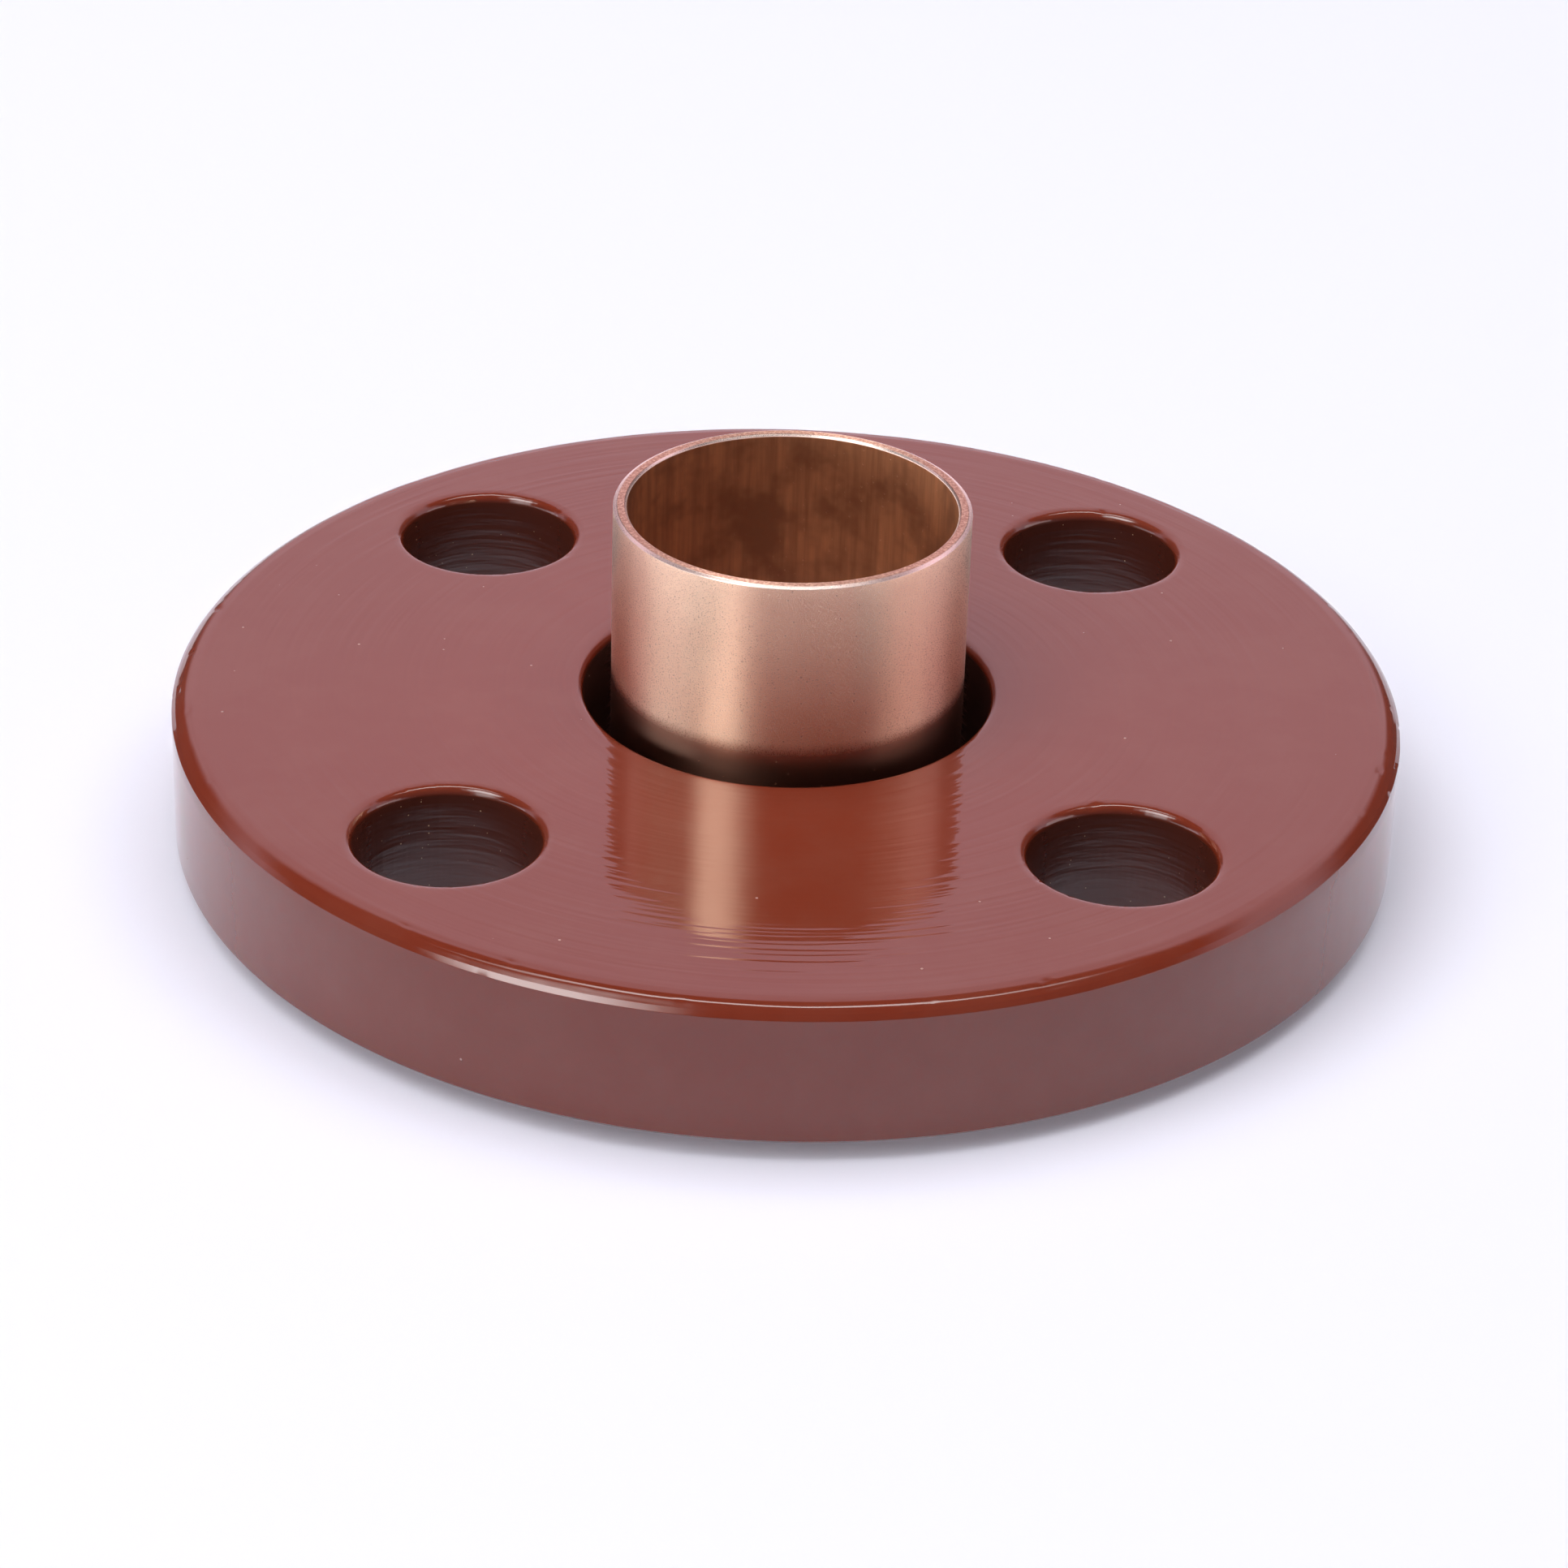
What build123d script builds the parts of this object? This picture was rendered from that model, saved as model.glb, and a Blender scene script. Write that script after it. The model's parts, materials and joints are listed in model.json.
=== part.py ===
from build123d import *
from math import isclose
import os

# A two-piece copper pipe flange for 1 inch tube, in millimetres.
# The copper stub end stands on its lap, and the loose steel ring lies on the lap's back.
# The origin is the centre of the lap's gasket face, and +Z runs up along the pipe's axis.

# The copper tube that is soldered into the cup
TUBE_OD = 28.575
TUBE_WALL = 1.27
SOLDER_GAP = 0.0625

# Copper stub end, from the lap up to the cup's rim
LAP_OD = 50.8
LAP_THICKNESS = 1.6
LAP_EDGE_BEVEL = 0.25
LAP_BEND_ROUND = 2.4
NECK_WALL = 1.3
NECK_LENGTH = 4.6
SHOULDER_RISE = 2.5
SHOULDER_BREAK = 0.5
CUP_WALL = 1.2
CUP_DEPTH = 23.1
RIM_DEBURR_OUTSIDE = 0.3
RIM_DEBURR_INSIDE = 0.2

# Loose steel ring
RING_THICKNESS = 12.7
RING_BORE_GAP = 2.45
BORE_MOUTH_BEVEL = 0.4
BORE_SEAT_BEVEL = 1.5
RIM_BEVEL = 1.05
UNDERSIDE_BEVEL = 0.4

# Bolt holes, which straddle the ring's centre lines, and the steel left outside them
BOLT_COUNT = 4
BOLT_CIRCLE = 79.375
BOLT_HOLE = 15.875
BOLT_HOLE_BEVEL = 0.35
HOLE_TO_RIM = 6.35

# The waterway is as wide as the tube inside, and the cup takes the tube's outside
WATERWAY_R = TUBE_OD / 2 - TUBE_WALL
NECK_OUTER_R = WATERWAY_R + NECK_WALL
CUP_BORE_R = TUBE_OD / 2 + SOLDER_GAP
CUP_OUTER_R = CUP_BORE_R + CUP_WALL

# The tube stops at the shoulder's top, and the cup's rim is one cup depth above it
SHOULDER_FOOT_Z = LAP_THICKNESS + NECK_LENGTH
TUBE_STOP_Z = SHOULDER_FOOT_Z + SHOULDER_RISE
CUP_RIM_Z = TUBE_STOP_Z + CUP_DEPTH

# The face side of the lap's bend is one lap thickness further out than the ring side
FACE_BEND_ROUND = LAP_BEND_ROUND + LAP_THICKNESS

# The ring slips over the cup, lies flat on the lap's back and reaches out past the bolt holes
RING_OUTER_R = BOLT_CIRCLE / 2 + BOLT_HOLE / 2 + HOLE_TO_RIM
RING_BORE_R = CUP_OUTER_R + RING_BORE_GAP
RING_BOTTOM_Z = LAP_THICKNESS
RING_TOP_Z = RING_BOTTOM_Z + RING_THICKNESS


def turned(corners):
    """Turn a closed section round the pipe's axis.

    A corner is (radius, height), and an edge that is broken adds fillet or chamfer and its size.
    """
    section = make_face(Polyline([(radius, height) for radius, height, *_ in corners], close=True))
    for radius, height, *broken in corners:
        if broken:
            break_edge, size = broken
            corner = section.vertices().sort_by_distance((radius, height))[0]
            section = break_edge(corner, size)
    return revolve(Plane.XZ * section, Axis.Z)


def copper_stub_end():
    """The copper piece: lap, neck, shoulder that stops the tube, and solder cup, all one wall."""
    return turned([
        (WATERWAY_R, 0, fillet, FACE_BEND_ROUND),
        (LAP_OD / 2, 0, chamfer, LAP_EDGE_BEVEL),
        (LAP_OD / 2, LAP_THICKNESS, chamfer, LAP_EDGE_BEVEL),
        (NECK_OUTER_R, LAP_THICKNESS, fillet, LAP_BEND_ROUND),
        (NECK_OUTER_R, SHOULDER_FOOT_Z, chamfer, SHOULDER_BREAK),
        (CUP_OUTER_R, TUBE_STOP_Z, chamfer, SHOULDER_BREAK),
        (CUP_OUTER_R, CUP_RIM_Z, chamfer, RIM_DEBURR_OUTSIDE),
        (CUP_BORE_R, CUP_RIM_Z, chamfer, RIM_DEBURR_INSIDE),
        (CUP_BORE_R, TUBE_STOP_Z, chamfer, SHOULDER_BREAK),
        (WATERWAY_R, SHOULDER_FOOT_Z, chamfer, SHOULDER_BREAK),
    ])


def ring_blank():
    """The turned ring before drilling, with its bevelled rim and its corner cleared for the lap's bend."""
    return turned([
        (RING_BORE_R, RING_BOTTOM_Z, chamfer, BORE_SEAT_BEVEL),
        (RING_OUTER_R, RING_BOTTOM_Z, chamfer, UNDERSIDE_BEVEL),
        (RING_OUTER_R, RING_TOP_Z, chamfer, RIM_BEVEL),
        (RING_BORE_R, RING_TOP_Z, chamfer, BORE_MOUTH_BEVEL),
    ])


def flange_ring():
    """The loose ring: its blank, drilled for the bolts, with the holes' edges broken."""
    drill = Pos(Z=(RING_BOTTOM_Z + RING_TOP_Z) / 2) * Cylinder(BOLT_HOLE / 2, 2 * RING_THICKNESS)
    first_hole_angle = 180 / BOLT_COUNT
    ring = ring_blank() - PolarLocations(BOLT_CIRCLE / 2, BOLT_COUNT, start_angle=first_hole_angle) * drill
    circles = ring.edges().filter_by(GeomType.CIRCLE)
    hole_rims = [circle for circle in circles if isclose(circle.radius, BOLT_HOLE / 2)]
    return chamfer(hole_rims, BOLT_HOLE_BEVEL)


os.makedirs("parts", exist_ok=True)
export_step(copper_stub_end(), "parts/copper_stub_end.step")
export_step(flange_ring(), "parts/flange_ring.step")
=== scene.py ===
# %% [markdown]
# A painted steel ring lies loose on a copper stub end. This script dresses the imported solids:
# it turns and drills both pieces again as finer meshes, gives them paint and copper made of
# nodes, and sets up the floor, the studio light and the camera. Everything is in metres.
# The object stands at the world's origin with the pipe's axis along +Z.

# %% Load the frame
import json
import math
import bpy
from mathutils import Matrix, Vector


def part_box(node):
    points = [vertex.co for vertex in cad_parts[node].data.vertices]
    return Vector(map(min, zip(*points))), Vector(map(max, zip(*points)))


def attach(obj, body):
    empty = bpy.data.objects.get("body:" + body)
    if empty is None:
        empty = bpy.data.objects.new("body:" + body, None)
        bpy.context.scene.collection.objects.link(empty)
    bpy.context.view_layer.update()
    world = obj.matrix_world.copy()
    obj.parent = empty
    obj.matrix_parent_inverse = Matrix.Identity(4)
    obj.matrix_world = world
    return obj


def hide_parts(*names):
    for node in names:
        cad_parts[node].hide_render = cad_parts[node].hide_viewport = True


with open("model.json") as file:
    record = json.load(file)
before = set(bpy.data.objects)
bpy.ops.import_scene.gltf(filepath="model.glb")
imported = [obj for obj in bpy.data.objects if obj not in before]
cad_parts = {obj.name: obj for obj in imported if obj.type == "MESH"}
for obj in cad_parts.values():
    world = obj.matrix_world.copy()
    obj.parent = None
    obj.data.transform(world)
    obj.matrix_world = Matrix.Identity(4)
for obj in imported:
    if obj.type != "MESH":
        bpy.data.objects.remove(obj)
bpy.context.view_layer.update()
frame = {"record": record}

MM = 0.001

# %% [markdown]
# Every size that the solids already hold is read from them, so that the finer meshes fit the
# same places. The record gives the bolt holes and the cup, and the nodes' boxes give the rest.

# %% Read the sizes of the two pieces
record = frame["record"]
mounts = {mount["name"]: mount for mount in record["mounts"]}
ring_low, ring_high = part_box("flange_ring")
stub_low, stub_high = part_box("copper_stub_end")

ring_outer_r = (ring_high[0] - ring_low[0]) / 2
ring_bottom_z = ring_low[2]
ring_top_z = ring_high[2]
bolt_circle_r = mounts["bolt_circle"]["dims"]["pcd_mm"] * MM / 2
bolt_hole_r = mounts["bolt_circle"]["dims"]["hole_r_mm"] * MM
bolt_count = mounts["bolt_circle"]["dims"]["count"]
cup_bore_r = mounts["solder_cup"]["dims"]["r_mm"] * MM
lap_r = (stub_high[0] - stub_low[0]) / 2
rim_z = stub_high[2]
lap_top_z = ring_bottom_z
print("ring", ring_outer_r, ring_bottom_z, ring_top_z, "cup", cup_bore_r, rim_z)

# %% [markdown]
# The boxes don't give what lies inside them: the ring's bore, the copper's wall and the bevels.
# They are set here once, in the same sizes as the solids.

# %% Sizes inside the boxes
cup_wall = 1.2 * MM
ring_bore_gap = 2.45 * MM
ring_bore_r = cup_bore_r + cup_wall + ring_bore_gap
waterway_r = 13.0175 * MM
neck_outer_r = waterway_r + 1.3 * MM
cup_outer_r = cup_bore_r + cup_wall
tube_stop_z = 8.7 * MM
shoulder_foot_z = 6.2 * MM
lap_bend_round = 2.4 * MM
face_bend_round = lap_bend_round + (lap_top_z - stub_low[2])
rim_bevel = 1.05 * MM
seat_bevel = 1.5 * MM
underside_bevel = 0.4 * MM

# %% [markdown]
# A small helper keeps the node trees short. It adds a node, sets its options, and fills each
# input with a value or with a link from another node's output.

# %% A helper for all node trees
def put(tree, kind, inputs=None, **options):
    """Add a node. Inputs are given by name or number, as a value or as another node's output."""
    made = tree.nodes.new(kind)
    for option, value in options.items():
        setattr(made, option, value)
    for key, value in (inputs or {}).items():
        if isinstance(value, bpy.types.NodeSocket):
            tree.links.new(value, made.inputs[key])
        else:
            made.inputs[key].default_value = value
    return made


def calc(tree, operation, *values):
    """One Math node, and its result."""
    return put(tree, "ShaderNodeMath", dict(enumerate(values)), operation=operation).outputs[0]


def vector_calc(tree, operation, *values):
    """One Vector Math node."""
    return put(tree, "ShaderNodeVectorMath", dict(enumerate(values)), operation=operation)


def open_sockets(tree, inputs, outputs):
    """Give a node group its named inputs, with their defaults, and its named outputs."""
    for name, kind, default in inputs:
        socket = tree.interface.new_socket(name, in_out="INPUT", socket_type=kind)
        if default is not None:
            socket.default_value = default
    for name, kind in outputs:
        tree.interface.new_socket(name, in_out="OUTPUT", socket_type=kind)
    return tree.nodes.new("NodeGroupInput"), tree.nodes.new("NodeGroupOutput")

# %% [markdown]
# Both pieces were turned on a lathe, so their shape follows a rule: a section carried round the
# axis. A hand-made spin would need every rounding modelled. Geometry Nodes can take the section
# with sharp corners, round each corner by its own radius, and sweep it round a circle.
# The section is a small mesh of edges: x is the radius and y the height. Each corner stores how
# round it is, and how uneven the paint or the filed edge is there.

# %% Sections as edge meshes
SUPPORT = 0.6 * MM


def stops_beside(before, here, after, rounding):
    """Points on both legs of a corner, just past where its rounding ends."""
    legs = [Vector(end) - Vector(here) for end in (before, after)]
    turn = math.pi - legs[0].angle(legs[1])
    tangent = rounding * math.tan(turn / 2)
    return [
        tuple(Vector(here) + leg.normalized() * (tangent + min(SUPPORT, (leg.length - tangent) / 3)))
        for leg in legs
    ]


def section_mesh(name, lines):
    """An edge mesh from lines of (radius, height, rounding, unevenness) corners.

    A line is (corners, closed, course). The stops beside a rounded corner keep its rounding and
    its unevenness from spreading over the flat wall next to it.
    """
    points, edges = [], []
    values = {"rounding": [], "unevenness": [], "course": []}
    for corners, closed, course in lines:
        first = len(points)
        for index, (radius, height, rounding, unevenness) in enumerate(corners):
            stops = [((radius, height), rounding, unevenness)]
            if rounding > 0:
                before = corners[index - 1][:2]
                after = corners[(index + 1) % len(corners)][:2]
                near, far = stops_beside(before, (radius, height), after, rounding)
                stops = [(near, 0, 0), *stops, (far, 0, 0)]
            for place, stop_rounding, stop_unevenness in stops:
                points.append((*place, 0))
                values["rounding"].append(stop_rounding)
                values["unevenness"].append(stop_unevenness)
                values["course"].append(course)
        last = len(points) - 1
        edges += [(index, index + 1) for index in range(first, last)]
        if closed:
            edges.append((last, first))
    mesh = bpy.data.meshes.new(name)
    mesh.from_pydata(points, edges, [])
    for key, kind in (("rounding", "FLOAT"), ("unevenness", "FLOAT"), ("course", "INT")):
        mesh.attributes.new(key, kind, "POINT").data.foreach_set("value", values[key])
    print(name, "section points", len(points))
    return mesh

# %% [markdown]
# The lathe itself is a node group with named inputs. Fillet Curve rounds each corner by its own
# stored radius, Subdivide Curve cuts only the spans that are too long, and Curve to Mesh sweeps
# the section round a circle. Cutting the long spans keeps the shading of a straight wall from
# leaning towards the rounding at its end, and gives later steps points to move.

# %% The lathe as a node group
RAIL_R = 1.0


def lathe_group():
    """Section in, turned surface out."""
    tree = bpy.data.node_groups.new("Turn on a lathe", "GeometryNodeTree")
    source, result = open_sockets(
        tree,
        [
            ("Section", "NodeSocketGeometry", None),
            ("Steps around", "NodeSocketInt", 256),
            ("Steps in a rounding", "NodeSocketInt", 6),
            ("Longest span", "NodeSocketFloat", 0.8 * MM),
        ],
        [("Turned", "NodeSocketGeometry")],
    )
    line = put(tree, "GeometryNodeMeshToCurve", {"Mesh": source.outputs["Section"]})
    rounding = put(tree, "GeometryNodeInputNamedAttribute", {"Name": "rounding"}, data_type="FLOAT")
    rounded = put(tree, "GeometryNodeFilletCurve", {
        "Curve": line.outputs[0],
        "Count": source.outputs["Steps in a rounding"],
        "Radius": rounding.outputs[0],
    }, mode="POLY")
    place = put(tree, "GeometryNodeInputPosition").outputs[0]
    following = put(tree, "GeometryNodeOffsetPointInCurve", {"Offset": 1})
    there = put(tree, "GeometryNodeFieldAtIndex", {
        "Value": place,
        "Index": following.outputs["Point Index"],
    }, data_type="FLOAT_VECTOR", domain="POINT")
    span = vector_calc(tree, "DISTANCE", place, there.outputs[0]).outputs["Value"]
    cuts = calc(tree, "FLOOR", calc(tree, "DIVIDE", span, source.outputs["Longest span"]))
    cut = put(tree, "GeometryNodeSubdivideCurve", {"Curve": rounded.outputs[0], "Cuts": cuts})
    # The sweep puts the section's x outwards from the rail and its y downwards
    moved = put(tree, "GeometryNodeTransform", {
        "Geometry": cut.outputs[0],
        "Translation": (-RAIL_R, 0, 0),
    })
    stood = put(tree, "GeometryNodeTransform", {"Geometry": moved.outputs[0], "Scale": (1, -1, 1)})
    rail = put(tree, "GeometryNodeCurvePrimitiveCircle", {
        "Resolution": source.outputs["Steps around"],
        "Radius": RAIL_R,
    })
    upright = put(tree, "GeometryNodeSetCurveNormal", {"Curve": rail.outputs[0]}, mode="Z_UP")
    sweep = put(tree, "GeometryNodeCurveToMesh", {
        "Curve": upright.outputs[0],
        "Profile Curve": stood.outputs[0],
    })
    tree.links.new(sweep.outputs[0], result.inputs["Turned"])
    return tree


lathe = lathe_group()

# %% [markdown]
# The ring is a turned blank with bolt holes. Cutting the holes with a boolean would leave long
# thin faces beside them. Here the rim, the bore and one bolt hole are three separate turned
# walls. The hole is repeated round the bolt circle, and the flat faces are then filled between
# all the open edges, which leaves one closed surface.

# %% The ring's section
RIM, BORE, HOLE = 0, 1, 2
rim_corner_round = 1.6 * MM
rim_lower_round = 0.14 * MM
underside_round = 0.15 * MM
mouth_round = 0.65 * MM
hole_round = 0.75 * MM
rim_unevenness = 0.085 * MM
bore_unevenness = 0.03 * MM
hole_unevenness = 0.06 * MM
face_margin = 1.2 * MM

ring_lines = [
    ([
        (ring_outer_r - rim_bevel - face_margin, ring_top_z, 0, 0),
        (ring_outer_r - rim_bevel, ring_top_z, rim_corner_round, rim_unevenness),
        (ring_outer_r, ring_top_z - rim_bevel, rim_lower_round, rim_unevenness),
        (ring_outer_r, ring_bottom_z + underside_bevel, underside_round, 0),
        (ring_outer_r - underside_bevel, ring_bottom_z, underside_round, 0),
        (ring_outer_r - underside_bevel - face_margin, ring_bottom_z, 0, 0),
    ], False, RIM),
    ([
        (ring_bore_r + seat_bevel + face_margin, ring_bottom_z, 0, 0),
        (ring_bore_r + seat_bevel, ring_bottom_z, underside_round, 0),
        (ring_bore_r, ring_bottom_z + seat_bevel, underside_round, 0),
        (ring_bore_r, ring_top_z, mouth_round, bore_unevenness),
        (ring_bore_r + face_margin, ring_top_z, 0, 0),
    ], False, BORE),
    ([
        (bolt_hole_r + face_margin, ring_bottom_z, 0, 0),
        (bolt_hole_r, ring_bottom_z, hole_round, hole_unevenness),
        (bolt_hole_r, ring_top_z, hole_round, hole_unevenness),
        (bolt_hole_r + face_margin, ring_top_z, 0, 0),
    ], False, HOLE),
]
ring_section = section_mesh("ring_section", ring_lines)

# %% [markdown]
# The brushed paint sits unevenly on the edges, and the steel below was filed by hand. So each
# tree ends with the same unevenness: points move inwards along their normal by a noise that is
# multiplied by the unevenness stored in the section. Flat faces store none and stay flat.

# %% Uneven edges as a node group
CHIP_STARTS = 0.66
CHIP_IS_FULL = 0.76


def uneven_edges_group():
    """Move points inwards by noise, as far as their stored unevenness lets them."""
    tree = bpy.data.node_groups.new("Uneven edges", "GeometryNodeTree")
    source, result = open_sockets(
        tree,
        [
            ("Geometry", "NodeSocketGeometry", None),
            ("Lump size", "NodeSocketFloat", 6 * MM),
            ("Nick size", "NodeSocketFloat", 1.2 * MM),
            ("Seed", "NodeSocketFloat", 0.0),
        ],
        [("Geometry", "NodeSocketGeometry")],
    )
    place = put(tree, "GeometryNodeInputPosition").outputs[0]
    lumps = put(tree, "ShaderNodeTexNoise", {
        "Vector": place,
        "W": source.outputs["Seed"],
        "Scale": calc(tree, "DIVIDE", 1.0, source.outputs["Lump size"]),
        "Detail": 3.0,
        "Roughness": 0.62,
    }, noise_dimensions="4D")
    nicks = put(tree, "ShaderNodeTexNoise", {
        "Vector": place,
        "W": calc(tree, "ADD", source.outputs["Seed"], 7.0),
        "Scale": calc(tree, "DIVIDE", 1.0, source.outputs["Nick size"]),
        "Detail": 1.0,
    }, noise_dimensions="4D")
    chipped = put(tree, "ShaderNodeMapRange", {
        "Value": nicks.outputs[0],
        "From Min": CHIP_STARTS,
        "From Max": CHIP_IS_FULL,
    }, interpolation_type="SMOOTHSTEP")
    depth = calc(tree, "ADD", lumps.outputs[0], chipped.outputs[0])
    unevenness = put(tree, "GeometryNodeInputNamedAttribute", {"Name": "unevenness"}, data_type="FLOAT")
    inwards = calc(tree, "MULTIPLY", calc(tree, "MULTIPLY", depth, unevenness.outputs[0]), -1.0)
    normal = put(tree, "GeometryNodeInputNormal").outputs[0]
    offset = put(tree, "ShaderNodeVectorMath", {0: normal, "Scale": inwards}, operation="SCALE")
    moved = put(tree, "GeometryNodeSetPosition", {
        "Geometry": source.outputs["Geometry"],
        "Offset": offset.outputs[0],
    })
    tree.links.new(moved.outputs[0], result.inputs["Geometry"])
    return tree


uneven_edges = uneven_edges_group()

# %% The turned ring with its bolt holes
RIM_STEPS = 720
BORE_STEPS = 288
HOLE_STEPS = 160
ROUNDING_STEPS = 6
RIM_SPAN = 0.7 * MM
WALL_SPAN = 0.8 * MM
LEVEL_WITHIN = 0.1 * MM
WELD_WITHIN = 0.004 * MM


def turned_course(tree, section, course, steps_around, rounding_steps, longest_span):
    """One of the section's lines, swept on the lathe."""
    stored = put(tree, "GeometryNodeInputNamedAttribute", {"Name": "course"}, data_type="INT")
    wanted = put(tree, "FunctionNodeCompare", {2: stored.outputs[0], 3: course},
                 data_type="INT", operation="EQUAL")
    line = put(tree, "GeometryNodeSeparateGeometry", {
        "Geometry": section,
        "Selection": wanted.outputs[0],
    }, domain="POINT")
    return put(tree, "GeometryNodeGroup", {
        "Section": line.outputs[0],
        "Steps around": steps_around,
        "Steps in a rounding": rounding_steps,
        "Longest span": longest_span,
    }, node_tree=lathe).outputs[0]


def filled_face(tree, walls, height, faces_down):
    """A flat face between all the walls' open edges at one height."""
    face_count = put(tree, "GeometryNodeInputMeshEdgeNeighbors").outputs[0]
    is_open = put(tree, "FunctionNodeCompare", {2: face_count, 3: 1},
                  data_type="INT", operation="EQUAL").outputs[0]
    place = put(tree, "GeometryNodeInputPosition").outputs[0]
    level = put(tree, "ShaderNodeSeparateXYZ", {0: place}).outputs["Z"]
    away = calc(tree, "ABSOLUTE", calc(tree, "SUBTRACT", level, height))
    is_level = put(tree, "FunctionNodeCompare", {0: away, 1: LEVEL_WITHIN},
                   data_type="FLOAT", operation="LESS_THAN").outputs[0]
    both = put(tree, "FunctionNodeBooleanMath", {0: is_open, 1: is_level}, operation="AND").outputs[0]
    loops = put(tree, "GeometryNodeMeshToCurve", {"Mesh": walls, "Selection": both})
    filled = put(tree, "GeometryNodeFillCurve", {"Curve": loops.outputs[0]}, mode="TRIANGLES")
    lift = put(tree, "ShaderNodeCombineXYZ", {"Z": height}).outputs[0]
    placed = put(tree, "GeometryNodeTransform", {
        "Geometry": filled.outputs[0],
        "Translation": lift,
    }).outputs[0]
    if faces_down:
        return put(tree, "GeometryNodeFlipFaces", {"Mesh": placed}).outputs[0]
    return placed


def join(tree, *geometries):
    """Several geometries as one."""
    joined = put(tree, "GeometryNodeJoinGeometry")
    for geometry in geometries:
        tree.links.new(geometry, joined.inputs[0])
    return joined.outputs[0]


def ring_tree():
    """Section in, painted ring out."""
    tree = bpy.data.node_groups.new("Turned and drilled ring", "GeometryNodeTree")
    source, result = open_sockets(
        tree,
        [
            ("Section", "NodeSocketGeometry", None),
            ("Bolt holes", "NodeSocketInt", 4),
            ("Bolt circle radius", "NodeSocketFloat", 39.7 * MM),
            ("Top", "NodeSocketFloat", 14.3 * MM),
            ("Bottom", "NodeSocketFloat", 1.6 * MM),
            ("Lump size", "NodeSocketFloat", 6 * MM),
            ("Seed", "NodeSocketFloat", 3.0),
            ("Finish", "NodeSocketMaterial", None),
        ],
        [("Geometry", "NodeSocketGeometry")],
    )
    given = source.outputs
    rim = turned_course(tree, given["Section"], RIM, RIM_STEPS, ROUNDING_STEPS, RIM_SPAN)
    bore = turned_course(tree, given["Section"], BORE, BORE_STEPS, ROUNDING_STEPS, WALL_SPAN)
    hole = turned_course(tree, given["Section"], HOLE, HOLE_STEPS, ROUNDING_STEPS, WALL_SPAN)
    # The holes straddle the centre lines, so the first one lies half a step round
    spots = put(tree, "GeometryNodeMeshCircle", {
        "Vertices": given["Bolt holes"],
        "Radius": given["Bolt circle radius"],
    })
    half_step = calc(tree, "DIVIDE", math.pi, given["Bolt holes"])
    turn = put(tree, "ShaderNodeCombineXYZ", {"Z": half_step}).outputs[0]
    turned_spots = put(tree, "GeometryNodeTransform", {"Geometry": spots.outputs[0], "Rotation": turn})
    drilled = put(tree, "GeometryNodeInstanceOnPoints", {
        "Points": turned_spots.outputs[0],
        "Instance": hole,
    })
    holes = put(tree, "GeometryNodeRealizeInstances", {"Geometry": drilled.outputs[0]}).outputs[0]
    # The paint looks different in the bore and the holes, thinner and darkened with painted shade, so
    # their faces are marked for it
    inner = put(tree, "GeometryNodeStoreNamedAttribute", {
        "Geometry": join(tree, bore, holes),
        "Name": "inner_wall",
        "Value": 1.0,
    }, data_type="FLOAT", domain="FACE").outputs[0]
    walls = join(tree, rim, inner)
    top = filled_face(tree, walls, given["Top"], False)
    bottom = filled_face(tree, walls, given["Bottom"], True)
    closed = put(tree, "GeometryNodeMergeByDistance", {
        "Geometry": join(tree, walls, top, bottom),
        "Distance": WELD_WITHIN,
    }).outputs[0]
    uneven = put(tree, "GeometryNodeGroup", {
        "Geometry": closed,
        "Lump size": given["Lump size"],
        "Seed": given["Seed"],
    }, node_tree=uneven_edges).outputs[0]
    smooth = put(tree, "GeometryNodeSetShadeSmooth", {"Geometry": uneven}).outputs[0]
    real = put(tree, "GeometryNodeRealizeInstances", {"Geometry": smooth}).outputs[0]
    painted = put(tree, "GeometryNodeSetMaterial", {"Geometry": real, "Material": given["Finish"]})
    tree.links.new(painted.outputs[0], result.inputs["Geometry"])
    return tree


def make_piece(name, section, tree, values):
    """Run a tree on a section and keep its result as a plain mesh."""
    piece = bpy.data.objects.new(name, section)
    bpy.context.scene.collection.objects.link(piece)
    modifier = piece.modifiers.new(tree.name, "NODES")
    modifier.node_group = tree
    for item in tree.interface.items_tree:
        if item.in_out == "INPUT" and item.name in values:
            modifier[item.identifier] = values[item.name]
    graph = bpy.context.evaluated_depsgraph_get()
    mesh = bpy.data.meshes.new_from_object(piece.evaluated_get(graph), depsgraph=graph)
    piece.modifiers.remove(modifier)
    piece.data = mesh
    mesh.name = name
    print(name, "vertices", len(mesh.vertices), "faces", len(mesh.polygons))
    return piece

# %% [markdown]
# The copper piece is one wall all the way: a flat lap, a bend, a neck, a shoulder that stops the
# tube, and the cup that the tube is soldered into. It needs only the lathe and a little
# unevenness at the rim, where the sawn edge was deburred by hand.

# %% The copper stub end's section
lap_edge_round = 0.25 * MM
shoulder_round = 0.7 * MM
deburr_outside = 0.38 * MM
deburr_drop = 0.17 * MM
deburr_inside = 0.22 * MM
deburr_round = 0.06 * MM
rim_roughness = 0.02 * MM

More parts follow.
